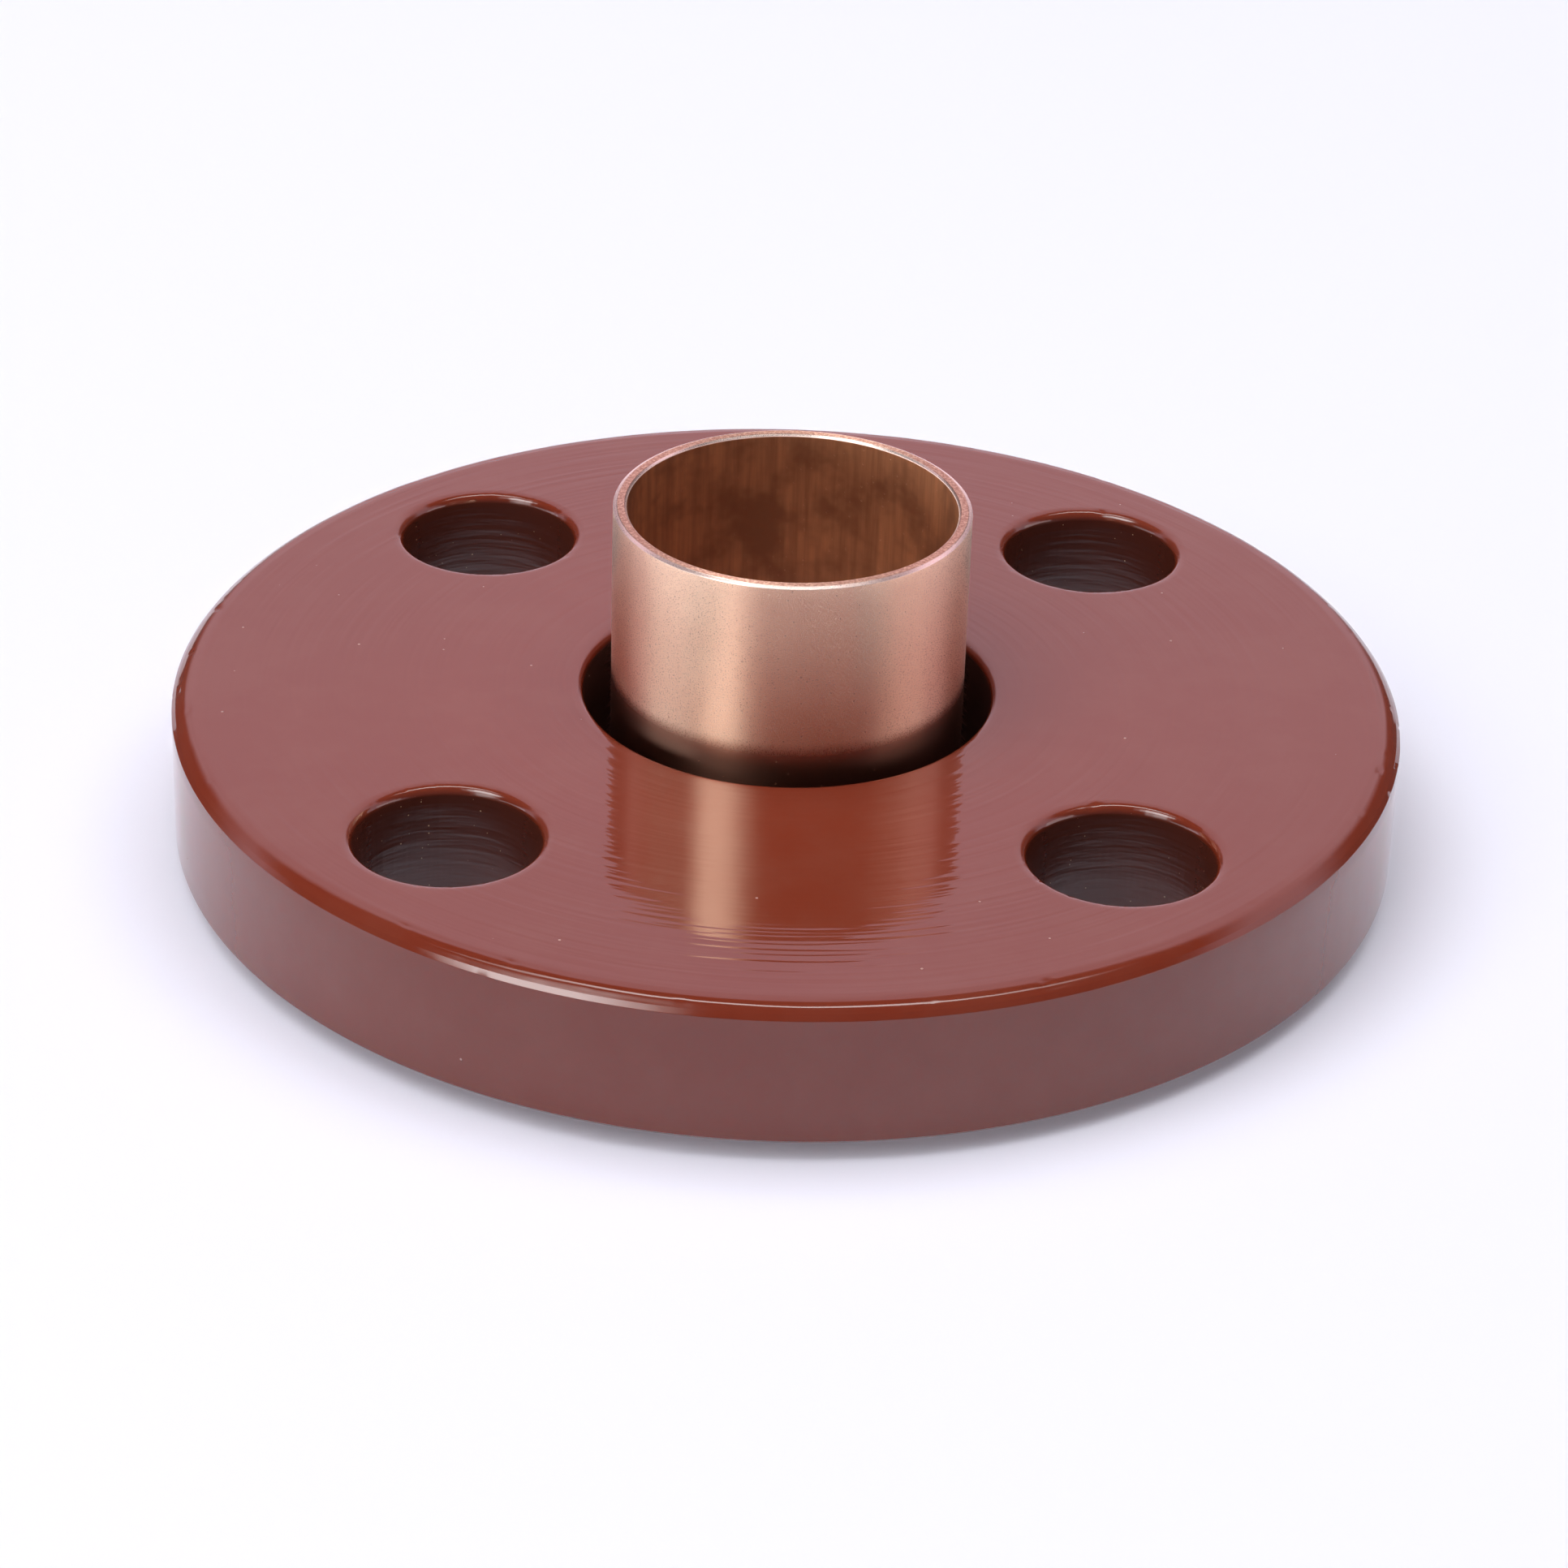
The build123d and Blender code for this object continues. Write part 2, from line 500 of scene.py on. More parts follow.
stub_lines = [([
    (waterway_r, stub_low[2], face_bend_round, 0),
    (waterway_r, shoulder_foot_z, shoulder_round, 0),
    (cup_bore_r, tube_stop_z, shoulder_round, 0),
    (cup_bore_r, rim_z - deburr_inside, deburr_round, rim_roughness),
    (cup_bore_r + deburr_inside, rim_z, deburr_round, rim_roughness),
    (cup_outer_r - deburr_outside, rim_z, deburr_round, rim_roughness),
    (cup_outer_r, rim_z - deburr_drop, deburr_round, rim_roughness),
    (cup_outer_r, tube_stop_z, shoulder_round, 0),
    (neck_outer_r, shoulder_foot_z, shoulder_round, 0),
    (neck_outer_r, lap_top_z, lap_bend_round, 0),
    (lap_r, lap_top_z, lap_edge_round, 0),
    (lap_r, stub_low[2], lap_edge_round, 0),
], True, RIM)]
stub_section = section_mesh("stub_section", stub_lines)

# %% The turned copper piece
STUB_STEPS = 480
STUB_ROUNDING_STEPS = 10
STUB_SPAN = 1.2 * MM
STUB_NICK = 0.5 * MM


def stub_tree():
    """Section in, copper piece out."""
    tree = bpy.data.node_groups.new("Formed copper stub end", "GeometryNodeTree")
    source, result = open_sockets(
        tree,
        [
            ("Section", "NodeSocketGeometry", None),
            ("Lump size", "NodeSocketFloat", 2 * MM),
            ("Seed", "NodeSocketFloat", 11.0),
            ("Finish", "NodeSocketMaterial", None),
        ],
        [("Geometry", "NodeSocketGeometry")],
    )
    given = source.outputs
    wall = put(tree, "GeometryNodeGroup", {
        "Section": given["Section"],
        "Steps around": STUB_STEPS,
        "Steps in a rounding": STUB_ROUNDING_STEPS,
        "Longest span": STUB_SPAN,
    }, node_tree=lathe).outputs[0]
    uneven = put(tree, "GeometryNodeGroup", {
        "Geometry": wall,
        "Lump size": given["Lump size"],
        "Nick size": STUB_NICK,
        "Seed": given["Seed"],
    }, node_tree=uneven_edges).outputs[0]
    smooth = put(tree, "GeometryNodeSetShadeSmooth", {"Geometry": uneven}).outputs[0]
    real = put(tree, "GeometryNodeRealizeInstances", {"Geometry": smooth}).outputs[0]
    finished = put(tree, "GeometryNodeSetMaterial", {"Geometry": real, "Material": given["Finish"]})
    tree.links.new(finished.outputs[0], result.inputs["Geometry"])
    return tree

# %% [markdown]
# Both finishes show the lathe: the ring's face has fine rings that the paint doesn't fill, and
# the copper has fine scratches round the cup. Both also have specks, which are dust in the
# paint and pits in the copper. So these two effects are node groups that both materials use.
# A mark is noise that is long one way and short the other: it changes fast across the tool's
# path and slowly along it.

# %% Lathe marks and specks as shader groups
def marks_group():
    """Fine tool marks across one direction, broken up along the other."""
    tree = bpy.data.node_groups.new("Lathe marks", "ShaderNodeTree")
    source, result = open_sockets(
        tree,
        [
            ("Across", "NodeSocketFloat", 0.0),
            ("Place", "NodeSocketVector", None),
            ("Spacing", "NodeSocketFloat", 0.4 * MM),
            ("Length", "NodeSocketFloat", 12 * MM),
            ("Detail", "NodeSocketFloat", 2.0),
        ],
        [("Height", "NodeSocketFloat")],
    )
    given = source.outputs
    across = calc(tree, "DIVIDE", given["Across"], given["Spacing"])
    along = put(tree, "ShaderNodeVectorMath", {
        0: given["Place"],
        "Scale": calc(tree, "DIVIDE", 1.0, given["Length"]),
    }, operation="SCALE").outputs[0]
    noise = put(tree, "ShaderNodeTexNoise", {
        "Vector": along,
        "W": across,
        "Scale": 1.0,
        "Detail": given["Detail"],
        "Roughness": 0.6,
    }, noise_dimensions="4D")
    tree.links.new(noise.outputs[0], result.inputs["Height"])
    return tree


def specks_group():
    """A mask of small sparse spots of uneven size."""
    tree = bpy.data.node_groups.new("Specks", "ShaderNodeTree")
    source, result = open_sockets(
        tree,
        [
            ("Place", "NodeSocketVector", None),
            ("Apart", "NodeSocketFloat", 2 * MM),
            ("Size", "NodeSocketFloat", 0.12),
            ("Share", "NodeSocketFloat", 0.5),
        ],
        [("Mask", "NodeSocketFloat")],
    )
    given = source.outputs
    cells = put(tree, "ShaderNodeTexVoronoi", {
        "Vector": given["Place"],
        "Scale": calc(tree, "DIVIDE", 1.0, given["Apart"]),
    }, voronoi_dimensions="3D", feature="F1")
    chance = put(tree, "ShaderNodeSeparateColor", {0: cells.outputs["Color"]})
    present = calc(tree, "LESS_THAN", chance.outputs["Red"], given["Share"])
    size = calc(tree, "MULTIPLY", given["Size"], calc(tree, "ADD", chance.outputs["Green"], 0.3))
    near = put(tree, "ShaderNodeMapRange", {
        "Value": cells.outputs["Distance"],
        "From Min": calc(tree, "MULTIPLY", size, 0.6),
        "From Max": size,
        "To Min": 1.0,
        "To Max": 0.0,
    }, interpolation_type="SMOOTHSTEP")
    mask = calc(tree, "MULTIPLY", near.outputs[0], present)
    tree.links.new(mask, result.inputs["Mask"])
    return tree


lathe_marks = marks_group()
specks = specks_group()

# %% A start for every material
def start_material(name):
    """A material's tree, its shader, the place on the object, and its distance from the axis."""
    material = bpy.data.materials.new(name)
    material.use_nodes = True
    tree = material.node_tree
    shader = tree.nodes["Principled BSDF"]
    place = tree.nodes.new("ShaderNodeTexCoord").outputs["Object"]
    split = put(tree, "ShaderNodeSeparateXYZ", {0: place}).outputs
    flat = put(tree, "ShaderNodeCombineXYZ", {"X": split["X"], "Y": split["Y"]}).outputs[0]
    radius = vector_calc(tree, "LENGTH", flat).outputs["Value"]
    return material, tree, shader, place, radius, split["Z"]


def ramp(tree, value, low, high, to_low=0.0, to_high=1.0):
    """A smooth change from one value to another."""
    return put(tree, "ShaderNodeMapRange", {
        "Value": value,
        "From Min": low,
        "From Max": high,
        "To Min": to_low,
        "To Max": to_high,
    }, interpolation_type="SMOOTHSTEP").outputs[0]


def blended(tree, factor, first, second):
    """A mix of two colours."""
    node = put(tree, "ShaderNodeMix", data_type="RGBA")
    for socket, value in ((0, factor), (6, first), (7, second)):
        if isinstance(value, bpy.types.NodeSocket):
            tree.links.new(value, node.inputs[socket])
        else:
            node.inputs[socket].default_value = value
    return node.outputs[2]


def noise_at(tree, place, size, detail=2.0, roughness=0.5):
    """Plain noise whose lumps are about the size given."""
    return put(tree, "ShaderNodeTexNoise", {
        "Vector": place,
        "Scale": 1.0 / size,
        "Detail": detail,
        "Roughness": roughness,
    }).outputs[0]


def bumped(tree, height, distance, strength=1.0, normal=None):
    """A Bump node."""
    values = {"Height": height, "Distance": distance, "Strength": strength}
    if normal is not None:
        values["Normal"] = normal
    return put(tree, "ShaderNodeBump", values).outputs[0]

# %% [markdown]
# The ring is painted in a red-brown oxide colour that dried glossy. What one sees of it is mostly
# the gloss: the pale room in the flat face, the tall lamp in the bevel, and the copper. So the
# colour is plain and dark, and the work is in the surface: lathe rings under the paint, a slight
# orange peel and dust. The walls of the holes and the bore got less paint: they are browner and
# duller, with the drill's rings and some grit showing. Below their mouths they are also painted
# darker, as painted shade of these recesses.

# %% The red-brown paint
PAINT = (0.180, 0.024, 0.009, 1.0)
PAINT_THIN = (0.20, 0.045, 0.026, 1.0)
PAINT_DUST = (0.42, 0.22, 0.18, 1.0)
# The bore's and the holes' colours are thinner, duller paint, and darker as painted shade of these
# recesses
PAINT_BORE_THIN_AND_SHADED = (0.08, 0.036, 0.031, 1.0)
PAINT_HOLE_THIN_AND_SHADED = (0.085, 0.018, 0.010, 1.0)
PAINT_GRIT = (0.80, 0.50, 0.30, 1.0)
RING_MARKS = 0.042 * MM
RING_MARKS_APART = 0.7 * MM
PEEL_SIZE = 1.6 * MM
PEEL_HEIGHT = 0.004 * MM
DUST_HEIGHT = 0.02 * MM
DRILL_MARKS = 0.09 * MM
DRILL_MARKS_APART = 0.9 * MM
GLOSS_SMOOTH = 0.035
GLOSS_ROUGH = 0.06
WALL_ROUGHER = 0.2
# Below these heights the inner walls carry the painted shade
DEEP_SHADE_FROM = ring_top_z - 0.4 * MM
DEEP_SHADE_FULLY = ring_top_z - 0.9 * MM


def paint_material():
    """Glossy oxide paint over turned steel."""
    material, tree, shader, place, radius, height = start_material("oxide_paint")
    blotch = noise_at(tree, place, 9 * MM, 4.0, 0.6)
    colour = blended(tree, ramp(tree, blotch, 0.35, 0.75, 0.0, 0.35), PAINT, PAINT_THIN)
    dust = put(tree, "ShaderNodeGroup", {
        "Place": place,
        "Apart": 2.6 * MM,
        "Size": 0.05,
        "Share": 0.35,
    }, node_tree=specks).outputs[0]
    colour = blended(tree, dust, colour, PAINT_DUST)
    wall = put(tree, "ShaderNodeAttribute", attribute_name="inner_wall").outputs["Fac"]
    # Bore and bolt holes are told apart by their distance from the pipe's axis
    bore = calc(tree, "LESS_THAN", radius, ring_bore_r + 2 * MM)
    # Below their mouths the bore and the holes take the darker colour: painted shade that fills these
    # recesses
    deep_with_shade = ramp(tree, height, DEEP_SHADE_FULLY, DEEP_SHADE_FROM, 1.0, 0.0)
    wall = calc(tree, "MULTIPLY", wall, deep_with_shade)
    grit = put(tree, "ShaderNodeGroup", {
        "Place": place,
        "Apart": 0.55 * MM,
        "Size": 0.13,
        "Share": 0.3,
    }, node_tree=specks).outputs[0]
    gritty = calc(tree, "MULTIPLY", grit, ramp(tree, blotch, 0.35, 0.6, 0.0, 0.9))
    shaded_wall_colour = blended(tree, bore, blended(tree, gritty, PAINT_HOLE_THIN_AND_SHADED, PAINT_GRIT), PAINT_BORE_THIN_AND_SHADED)
    colour = blended(tree, wall, colour, shaded_wall_colour)
    tree.links.new(colour, shader.inputs["Base Color"])
    rough = ramp(tree, blotch, 0.3, 0.7, GLOSS_SMOOTH, GLOSS_ROUGH)
    rough = calc(tree, "ADD", rough, calc(tree, "MULTIPLY", dust, 0.3))
    rough = calc(tree, "ADD", rough, calc(tree, "MULTIPLY", wall, WALL_ROUGHER))
    tree.links.new(rough, shader.inputs["Roughness"])
    shader.inputs["IOR"].default_value = 1.6
    rings = put(tree, "ShaderNodeGroup", {
        "Across": radius,
        "Place": place,
        "Spacing": RING_MARKS_APART,
        "Length": 18 * MM,
        "Detail": 1.0,
    }, node_tree=lathe_marks).outputs[0]
    turned = bumped(tree, rings, RING_MARKS)
    peel = noise_at(tree, place, PEEL_SIZE, 2.0)
    soft = bumped(tree, peel, PEEL_HEIGHT, 1.0, turned)
    raised = bumped(tree, dust, DUST_HEIGHT, 1.0, soft)
    drill = put(tree, "ShaderNodeGroup", {
        "Across": height,
        "Place": place,
        "Spacing": DRILL_MARKS_APART,
        "Length": 9 * MM,
        "Detail": 2.0,
    }, node_tree=lathe_marks).outputs[0]
    drilled = bumped(tree, calc(tree, "MULTIPLY", drill, wall), DRILL_MARKS, 1.0, raised)
    tree.links.new(drilled, shader.inputs["Normal"])
    return material


oxide_paint = paint_material()

# %% [markdown]
# The copper shows four finishes. Above the ring the cup was brushed round its axis, so its gloss
# is spread along the pipe and stays sharp across it: the shader is anisotropic, with its tangent
# round the axis. Below that the brush didn't reach and the drawn skin is darker; this darker band
# just above the ring is also painted shade of the gap between the ring and the cup. Inside, the
# cup is oxidised brown with streaks along the pipe, so there the tangent turns upright. The rim is
# a sawn face between two filed edges, which are paler. All of these are one material, and masks
# made from the radius and the height part them.

# %% Where the copper's finishes end
# The darker skin, which holds painted shade of the gap below, reaches from the ring up to these heights
shaded_skin_top_from = ring_top_z + 1.0 * MM
shaded_skin_top_to = ring_top_z + 2.7 * MM
inside_low = cup_bore_r + 0.02 * MM
inside_high = cup_bore_r + 0.12 * MM
cut_low = rim_z - 0.05 * MM
cut_high = rim_z - 0.01 * MM
filed_high = rim_z - deburr_drop
filed_low = filed_high - 0.08 * MM

# %% The brushed copper
COPPER = (0.96, 0.65, 0.46, 1.0)
COPPER_SATIN = (0.97, 0.69, 0.51, 1.0)
COPPER_DULL = (0.66, 0.33, 0.22, 1.0)
# The skin's colour is darker drawn copper and painted shade together
COPPER_SKIN_SHADED = (0.45, 0.22, 0.15, 1.0)
COPPER_PIT = (0.20, 0.08, 0.05, 1.0)
COPPER_OXIDE = (0.66, 0.27, 0.125, 1.0)
COPPER_OXIDE_DARK = (0.31, 0.12, 0.058, 1.0)
COPPER_CUT = (0.62, 0.33, 0.24, 1.0)
COPPER_EDGE = (0.97, 0.76, 0.68, 1.0)
GRAIN_SMOOTH = 0.27
GRAIN_ROUGH = 0.38
ANISOTROPY = 0.86
GRAIN_SIZE = 0.07 * MM
SAWN_SIZE = 0.3 * MM
SAWN_HEIGHT = 0.05 * MM
SCRATCH_HEIGHT = 0.002 * MM
SCRATCHES_APART = 0.12 * MM
PIT_DEPTH = 0.02 * MM
OXIDE_COVER = 0.55
DULL_ROUGHNESS = 0.5


def copper_material():
    """Brushed copper and bare skin with painted shade outside, oxide inside the cup, and a sawn and
    filed rim.
    """
    material, tree, shader, place, radius, height = start_material("brushed_copper")
    brushed_above_shade = ramp(tree, height, shaded_skin_top_from, shaded_skin_top_to)
    inside = ramp(tree, radius, inside_low, inside_high, 1.0, 0.0)
    cut = ramp(tree, height, cut_low, cut_high)
    blotch = noise_at(tree, place, 7 * MM, 5.0, 0.62)
    grain = ramp(tree, noise_at(tree, place, GRAIN_SIZE, 1.0), 0.3, 0.7)
    colour = blended(tree, grain, COPPER, COPPER_SATIN)
    colour = blended(tree, ramp(tree, blotch, 0.45, 0.8, 0.0, 0.22), colour, COPPER_DULL)
    pits = put(tree, "ShaderNodeGroup", {
        "Place": place,
        "Apart": 0.5 * MM,
        "Size": 0.17,
        "Share": 0.5,
    }, node_tree=specks).outputs[0]
    colour = blended(tree, calc(tree, "MULTIPLY", pits, 0.4), colour, COPPER_PIT)
    # Just above the ring the colour turns to the darker skin: bare skin and painted shade
    colour = blended(tree, brushed_above_shade, COPPER_SKIN_SHADED, colour)
    # Streaks are noise squeezed along the pipe
    upright = vector_calc(tree, "MULTIPLY", place, (1.0, 1.0, 0.06)).outputs["Vector"]
    streaks = noise_at(tree, upright, 0.8 * MM, 3.0, 0.6)
    stains = noise_at(tree, place, 5 * MM, 3.0, 0.6)
    darkness = calc(tree, "MULTIPLY", ramp(tree, streaks, 0.05, 0.85), ramp(tree, stains, 0.3, 0.6))
    oxide = blended(tree, darkness, COPPER_OXIDE_DARK, COPPER_OXIDE)
    colour = blended(tree, inside, colour, oxide)
    sawn = noise_at(tree, place, SAWN_SIZE, 3.0, 0.7)
    cut_colour = blended(tree, ramp(tree, sawn, 0.4, 0.68), COPPER_CUT, COPPER_SATIN)
    filed = ramp(tree, height, filed_low, filed_high)
    colour = blended(tree, filed, colour, COPPER_EDGE)
    colour = blended(tree, cut, colour, cut_colour)
    tree.links.new(colour, shader.inputs["Base Color"])
    metal = calc(tree, "SUBTRACT", 1.0, calc(tree, "MULTIPLY", inside, OXIDE_COVER))
    tree.links.new(metal, shader.inputs["Metallic"])
    satin = calc(tree, "MULTIPLY", grain, brushed_above_shade)
    rough = ramp(tree, satin, 0.0, 1.0, GRAIN_SMOOTH, GRAIN_ROUGH)
    dull = calc(tree, "MULTIPLY", calc(tree, "MAXIMUM", inside, cut), DULL_ROUGHNESS)
    rough = calc(tree, "MAXIMUM", rough, dull)
    tree.links.new(rough, shader.inputs["Roughness"])
    shader.inputs["Anisotropic"].default_value = ANISOTROPY
    # A quarter turn spreads the gloss along the pipe and keeps it sharp round it
    shader.inputs["Anisotropic Rotation"].default_value = 0.25
    around = put(tree, "ShaderNodeTangent", direction_type="RADIAL", axis="Z").outputs[0]
    turned = put(tree, "ShaderNodeMix", data_type="VECTOR")
    tree.links.new(inside, turned.inputs[0])
    tree.links.new(around, turned.inputs[4])
    turned.inputs[5].default_value = (0.0, 0.0, 1.0)
    tree.links.new(turned.outputs[1], shader.inputs["Tangent"])
    scratches = put(tree, "ShaderNodeGroup", {
        "Across": height,
        "Place": place,
        "Spacing": SCRATCHES_APART,
        "Length": 9 * MM,
        "Detail": 3.0,
    }, node_tree=lathe_marks).outputs[0]
    brushing = bumped(tree, scratches, SCRATCH_HEIGHT)
    rough_cut = bumped(tree, calc(tree, "MULTIPLY", sawn, cut), SAWN_HEIGHT, 1.0, brushing)
    pitted = bumped(tree, calc(tree, "MULTIPLY", pits, -1.0), PIT_DEPTH, 1.0, rough_cut)
    tree.links.new(pitted, shader.inputs["Normal"])
    return material


brushed_copper = copper_material()

# %% [markdown]
# Each tree now runs once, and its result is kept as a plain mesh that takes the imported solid's
# place. Both meshes are in the world's own place, so their objects stay at the origin.

# %% Make both pieces
painted_ring = make_piece("painted_ring", ring_section, ring_tree(), {
    "Bolt holes": bolt_count,
    "Bolt circle radius": bolt_circle_r,
    "Top": ring_top_z,
    "Bottom": ring_bottom_z,
    "Finish": oxide_paint,
})
copper_end = make_piece("copper_end", stub_section, stub_tree(), {"Finish": brushed_copper})

for piece, node, body, slot in (
    (painted_ring, "flange_ring", "ring", "ring_paint"),
    (copper_end, "copper_stub_end", "stub", "copper"),
):
    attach(piece, body)
    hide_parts(node)

# %% [markdown]
# The floor is a plain pale sheet. Its colour alone stays below white, so a little light of its
# own is added for the camera and for reflections only, and the object's shadow stays on it. In
# reflections it glows a little more, because the paint's side and the copper mirror a floor that
# is brighter further out. Far away, where the lamps hardly reach, it glows white to the camera,
# so that a low view shows no grey edge.

# %% The pale floor
FLOOR_SIZE = 6.0
FLOOR_COLOUR = (0.72, 0.71, 0.80, 1.0)
FLOOR_GLOW_COLOUR = (0.89, 0.88, 1.0, 1.0)
FLOOR_GLOW = 0.16
FLOOR_GLOW_IN_GLOSS = 1.7
FLOOR_NEAR = 0.5
FLOOR_FAR = 2.0


def floor_material():
    """Pale and matt, a little brighter to the camera than it is lit."""
    material = bpy.data.materials.new("pale_floor")
    material.use_nodes = True
    tree = material.node_tree
    shader = tree.nodes["Principled BSDF"]
    shader.inputs["Base Color"].default_value = FLOOR_COLOUR
    shader.inputs["Roughness"].default_value = 1.0
    shader.inputs["Specular IOR Level"].default_value = 0.0
    seen = put(tree, "ShaderNodeLightPath").outputs
    mirrored = calc(tree, "MULTIPLY", seen["Is Glossy Ray"], FLOOR_GLOW_IN_GLOSS)
    place = tree.nodes.new("ShaderNodeTexCoord").outputs["Object"]
    away = vector_calc(tree, "LENGTH", place).outputs["Value"]
    far_glow = ramp(tree, away, FLOOR_NEAR, FLOOR_FAR, 1.0, 1.0 / FLOOR_GLOW)
    looked_at = calc(tree, "MULTIPLY", seen["Is Camera Ray"], far_glow)
    direct = calc(tree, "MAXIMUM", looked_at, mirrored)
    direct = calc(tree, "MAXIMUM", direct, seen["Is Transmission Ray"])
    shader.inputs["Emission Color"].default_value = FLOOR_GLOW_COLOUR
    tree.links.new(calc(tree, "MULTIPLY", direct, FLOOR_GLOW), shader.inputs["Emission Strength"])
    return material


def make_floor():
    """One large flat sheet at the height that the object stands on."""
    half = FLOOR_SIZE / 2
    mesh = bpy.data.meshes.new("floor")
    corners = [(-half, -half, 0), (half, -half, 0), (half, half, 0), (-half, half, 0)]
    mesh.from_pydata(corners, [], [(0, 1, 2, 3)])
    floor = bpy.data.objects.new("floor", mesh)
    floor.data.materials.append(floor_material())
    bpy.context.scene.collection.objects.link(floor)
    return floor


make_floor()

# %% [markdown]
# The photograph shows its lamps in the object. The thin line along the ring's bevel is a wide
# softbox overhead, the broad patch at the bevel's left is a second one at the front left, and the
# pale left part of the cup is something white standing low at the left. What shows no lamp is
# dark: the upper front, and both sides of the back. A shiny surface mirrors a lamp's shape, and a
# matt one only adds up its light. So the two softboxes are each made twice in one place, once for
# the gloss with soft edges and once for matt light, and each is set by what it does. The white
# thing at the left is split as well: the flat paint would mirror all of its light in a low view
# from the right, so most of it is linked to the copper alone.

# %% Directions round the object
def direction(azimuth, elevation):
    """A direction in degrees. Azimuth 0 is towards the camera's side, and it grows to the right."""
    a, e = math.radians(azimuth), math.radians(elevation)
    return Vector((math.sin(a) * math.cos(e), -math.cos(a) * math.cos(e), math.sin(e)))

# %% A soft lamp
def soft_lamp(name, place, facing, width, height, radiance, level_side):
    """A rectangular lamp. Its light per area is the same wherever it stands."""
    light = bpy.data.lights.new(name, "AREA")
    light.shape = "RECTANGLE"
    light.size = width
    light.size_y = height
    light.energy = radiance * math.pi * width * height
    lamp = bpy.data.objects.new(name, light)
    bpy.context.scene.collection.objects.link(lamp)
    back = -facing.normalized()
    side = level_side.normalized()
    up = back.cross(side)
    turn = Matrix((side, up, back)).transposed()
    lamp.matrix_world = Matrix.Translation(place) @ turn.to_4x4()
    lamp.visible_camera = False
    return lamp

# %% A lamp for one kind of surface
def light_only(lamp, gloss):
    """Keep a lamp to the gloss, or to matt light.

    The two lamps of a pair lie in one place. A bounced ray would stop at the nearer one, so the
    matt lamp is only reached by rays aimed at it.
    """
    lamp.visible_glossy = gloss
    lamp.visible_diffuse = not gloss
    lamp.data.cycles.use_multiple_importance_sampling = gloss

# %% A softbox that fades to its edges
def fade_edges(lamp, fade):
    """Let a lamp's light fall off over this share of its size at every edge."""
    light = lamp.data
    light.use_nodes = True
    tree = light.node_tree
    spot = put(tree, "ShaderNodeNewGeometry").outputs["Parametric"]
    split = put(tree, "ShaderNodeSeparateXYZ", {0: spot}).outputs
    shares = []
    for axis in "XY":
        to_middle = calc(tree, "ABSOLUTE", calc(tree, "SUBTRACT", split[axis], 0.5))
        shares.append(ramp(tree, to_middle, 0.5 - fade, 0.5, 1.0, 0.0))
    tree.links.new(calc(tree, "MULTIPLY", *shares), tree.nodes["Emission"].inputs["Strength"])

# %% The overhead lamp
OVERHEAD_AWAY = 2.0
OVERHEAD_WIDTH = 1.5 * OVERHEAD_AWAY
OVERHEAD_GLOSS = 8.0
OVERHEAD_FADE = 0.45
OVERHEAD_GLOSS_DEPTH = 0.3 * OVERHEAD_AWAY
OVERHEAD_MATT = 3.05
OVERHEAD_MATT_DEPTH = 0.8 * OVERHEAD_AWAY
OVERHEAD_MATT_BACK = 0.1 * OVERHEAD_AWAY
for name, back, depth, radiance, gloss in (
    ("overhead_gloss", 0, OVERHEAD_GLOSS_DEPTH, OVERHEAD_GLOSS, True),
    ("overhead_matt", OVERHEAD_MATT_BACK, OVERHEAD_MATT_DEPTH, OVERHEAD_MATT, False),
):
    lamp = soft_lamp(
        name, Vector((0, back, OVERHEAD_AWAY)), Vector((0, 0, -1)), OVERHEAD_WIDTH, depth, radiance,
        Vector((1, 0, 0)))
    light_only(lamp, gloss)
    if gloss:
        fade_edges(lamp, OVERHEAD_FADE)

# %% The lamp at the front left
SIDE_LAMP_AWAY = 1.5
SIDE_LAMP_WIDTH = 0.95 * SIDE_LAMP_AWAY
SIDE_LAMP_HEIGHT = 0.84 * SIDE_LAMP_AWAY
SIDE_LAMP_FADE = 0.4
SIDE_LAMP_GLOSS = 8.5
SIDE_LAMP_MATT = 2.6
SIDE_LAMP_TO_LEFT = 0.505
SIDE_LAMP_DOWN = 0.13
side_facing = direction(-11.2, 58.3)
side_level = direction(78.8, 0)
side_up = side_facing.cross(side_level)
side_aim = side_facing - side_level * SIDE_LAMP_TO_LEFT - side_up * SIDE_LAMP_DOWN
for name, radiance, gloss in (
    ("side_lamp_gloss", SIDE_LAMP_GLOSS, True),
    ("side_lamp_matt", SIDE_LAMP_MATT, False),
):
    lamp = soft_lamp(
        name, side_aim * SIDE_LAMP_AWAY, -side_facing, SIDE_LAMP_WIDTH, SIDE_LAMP_HEIGHT, radiance,
        side_level)
    light_only(lamp, gloss)
    if gloss:
        fade_edges(lamp, SIDE_LAMP_FADE)

# %% The dim card below the side lamp
CARD_AWAY = 1.4
CARD_WIDTH = 0.66 * CARD_AWAY
CARD_HEIGHT = 0.55 * CARD_AWAY
CARD_RADIANCE = 3.6
CARD_FADE = 0.4
CARD_AZIMUTH = -42
card_facing = direction(CARD_AZIMUTH, 20)
card = soft_lamp(
    "low_card", card_facing * CARD_AWAY, -card_facing, CARD_WIDTH, CARD_HEIGHT, CARD_RADIANCE,
    direction(CARD_AZIMUTH + 90, 0))
light_only(card, True)
fade_edges(card, CARD_FADE)

# %% The pale walls low at both sides
WALL_AWAY = 1.5
LEFT_WALL = 1.6
LEFT_WALL_ON_COPPER = 10.4
RIGHT_WALL = 1.2
LEFT_WALL_COLOUR = (0.82, 0.93, 1.0)
RIGHT_WALL_COLOUR = (1.0, 0.90, 0.84)
copper_only = bpy.data.collections.new("copper_only")
copper_only.objects.link(copper_end)
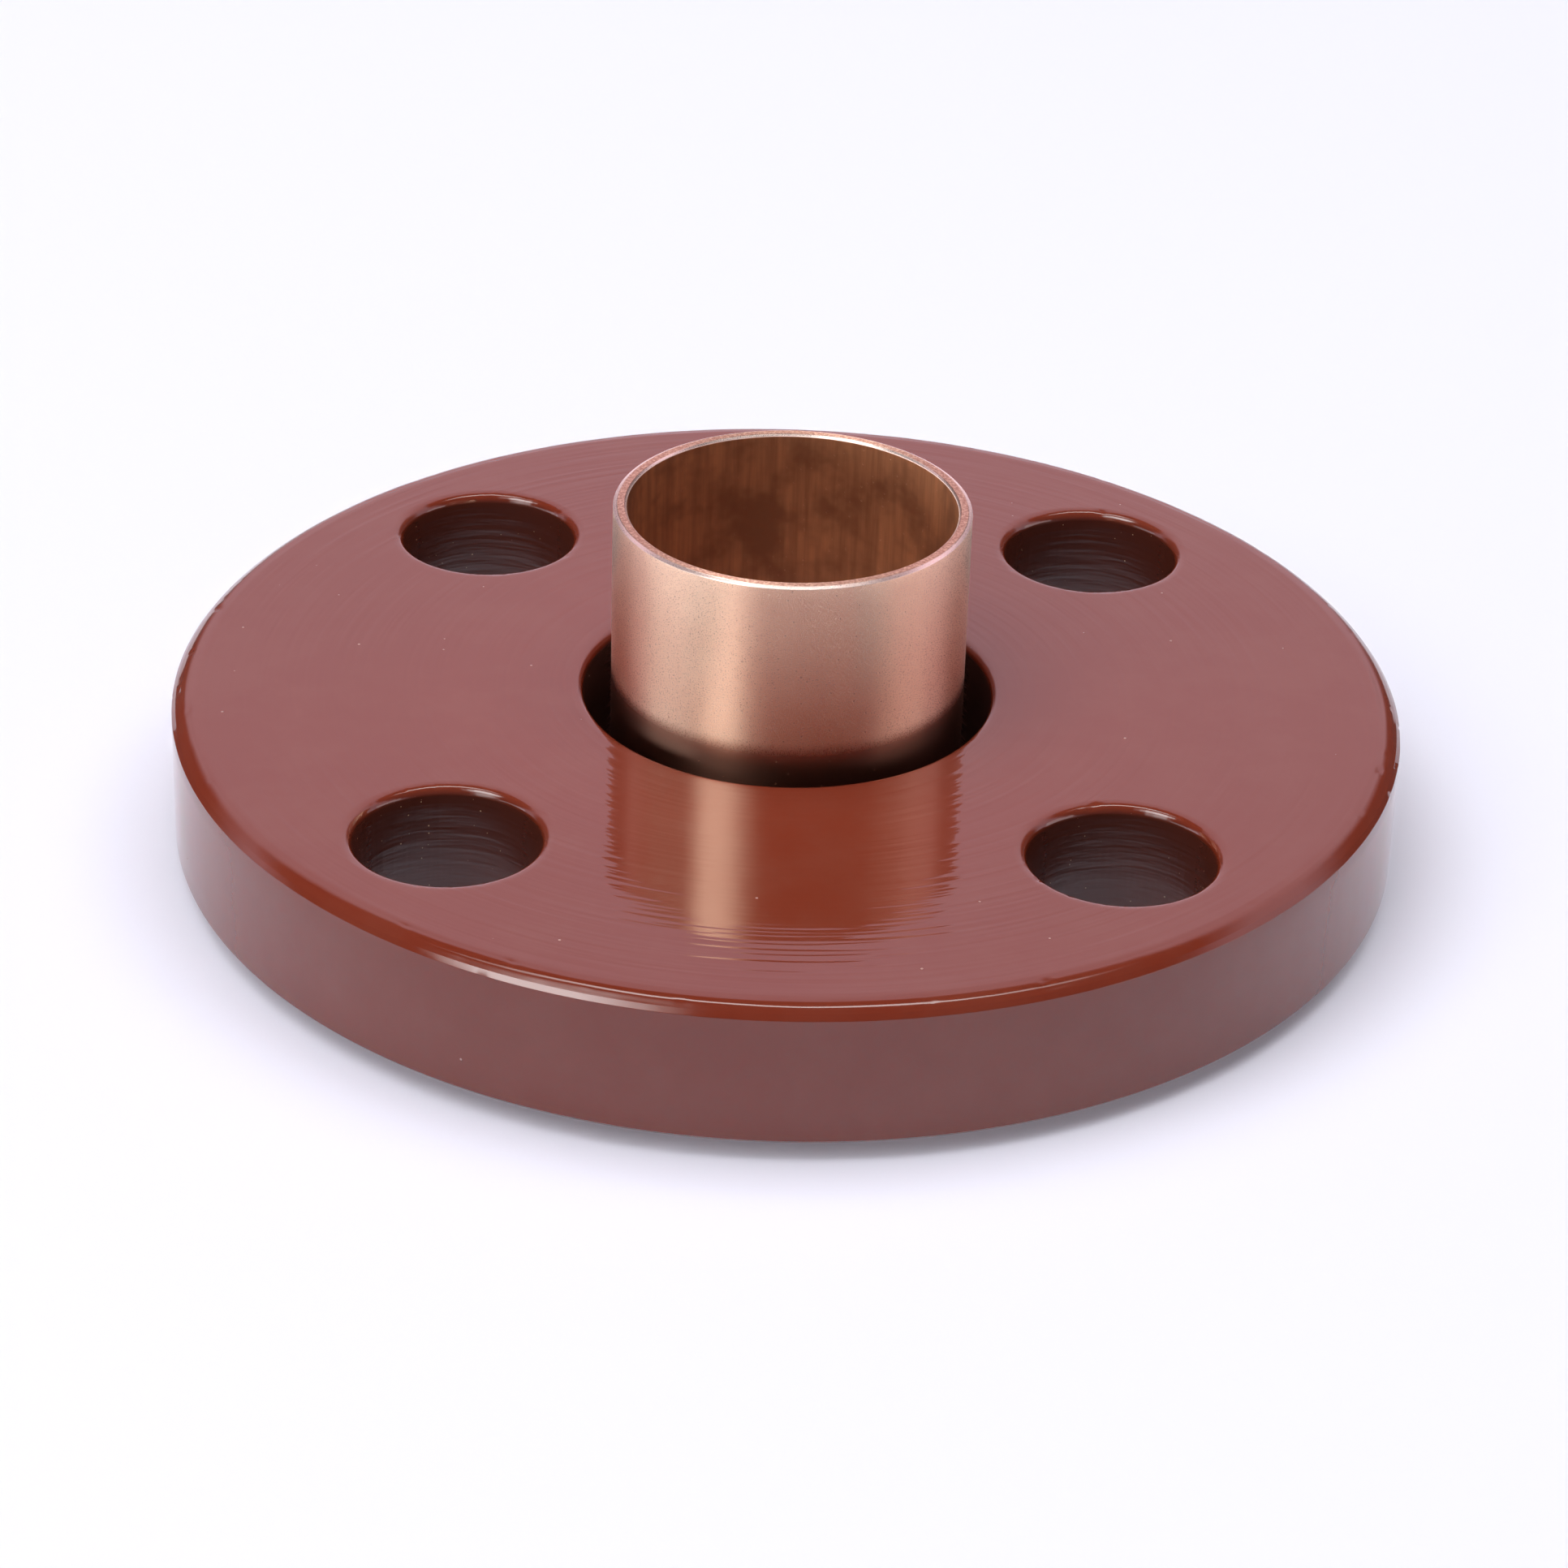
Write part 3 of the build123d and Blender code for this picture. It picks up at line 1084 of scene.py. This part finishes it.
# Each wall: its direction in degrees, its size at distance 1, its strength, its colour and, where
# it lights one piece only, the collection of that piece
for name, azimuth, elevation, width, height, radiance, colour, lit in (
    ("left_wall", -76, 6, 0.68, 0.20, LEFT_WALL, LEFT_WALL_COLOUR, None),
    ("left_wall_on_copper", -76, 6, 0.68, 0.20, LEFT_WALL_ON_COPPER, LEFT_WALL_COLOUR, copper_only),
    ("right_wall", 74, 8, 0.66, 0.28, RIGHT_WALL, RIGHT_WALL_COLOUR, None),
):
    facing = direction(azimuth, elevation)
    wall = soft_lamp(
        name, facing * WALL_AWAY, -facing, width * WALL_AWAY, height * WALL_AWAY, radiance,
        direction(azimuth + 90, 0))
    wall.data.color = colour
    wall.light_linking.receiver_collection = lit

# %% The pale room with its dark areas
ROOM_MATT = (0.065, 0.074, 0.09, 1.0)
ROOM_WHITE = (1.0, 0.99, 1.0, 1.0)
ROOM_GLOSS = (1.14, 0.90, 1.05, 1.0)
ROOM_DARK = (0.10, 0.09, 0.095, 1.0)
# Each dark area in the gloss: its middle, half its width in degrees, and how soft its edge is
DARK_AREAS = (
    (direction(-15, 55), 70, 6),
    (direction(-138, 8), 24, 8),
    (direction(136, 8), 24, 8),
)


def make_room():
    """The world: white to the camera, dim for matt surfaces, pale with dark areas in the gloss."""
    world = bpy.data.worlds.new("pale_room")
    world.use_nodes = True
    tree = world.node_tree
    back = tree.nodes["Background"]
    looked = tree.nodes.new("ShaderNodeTexCoord").outputs["Generated"]
    gloss = ROOM_GLOSS
    for middle, half_angle, softness in DARK_AREAS:
        closeness = vector_calc(tree, "DOT_PRODUCT", looked, tuple(middle)).outputs["Value"]
        outer_edge = math.cos(math.radians(half_angle + softness))
        inner_edge = math.cos(math.radians(half_angle - softness))
        gloss = blended(tree, ramp(tree, closeness, outer_edge, inner_edge), gloss, ROOM_DARK)
    seen = put(tree, "ShaderNodeLightPath").outputs
    shiny = calc(tree, "MAXIMUM", seen["Is Glossy Ray"], seen["Is Transmission Ray"])
    colour = blended(tree, shiny, ROOM_MATT, gloss)
    colour = blended(tree, seen["Is Camera Ray"], colour, ROOM_WHITE)
    tree.links.new(colour, back.inputs["Color"])
    bpy.context.scene.world = world


make_room()

# %% [markdown]
# The camera looks down at the ring from the front. Its lens, height and small tilt were worked
# out from where the rim and the bolt holes appear in the photograph, in a square image.

# %% The camera
CAMERA_AWAY = 372.94 * MM
CAMERA_HEIGHT = 214.95 * MM
CAMERA_HEADING = math.radians(-0.458)
CAMERA_DOWN = math.radians(29.474)
CAMERA_ROLL = math.radians(1.856)
CAMERA_LENS = 110.24


def make_camera():
    """The photograph's viewpoint."""
    camera = bpy.data.objects.new("camera", bpy.data.cameras.new("camera"))
    bpy.context.scene.collection.objects.link(camera)
    camera.data.sensor_width = 36.0
    camera.data.lens = CAMERA_LENS
    heading = Matrix.Rotation(CAMERA_HEADING, 4, "Z")
    downwards = Matrix.Rotation(math.pi / 2 - CAMERA_DOWN, 4, "X")
    rolled = Matrix.Rotation(CAMERA_ROLL, 4, "Z")
    place = heading @ Vector((0, -CAMERA_AWAY, CAMERA_HEIGHT))
    camera.matrix_world = Matrix.Translation(place) @ heading @ downwards @ rolled
    bpy.context.scene.camera = camera


make_camera()

# %% Finish
bpy.context.scene.view_settings.view_transform = "Standard"
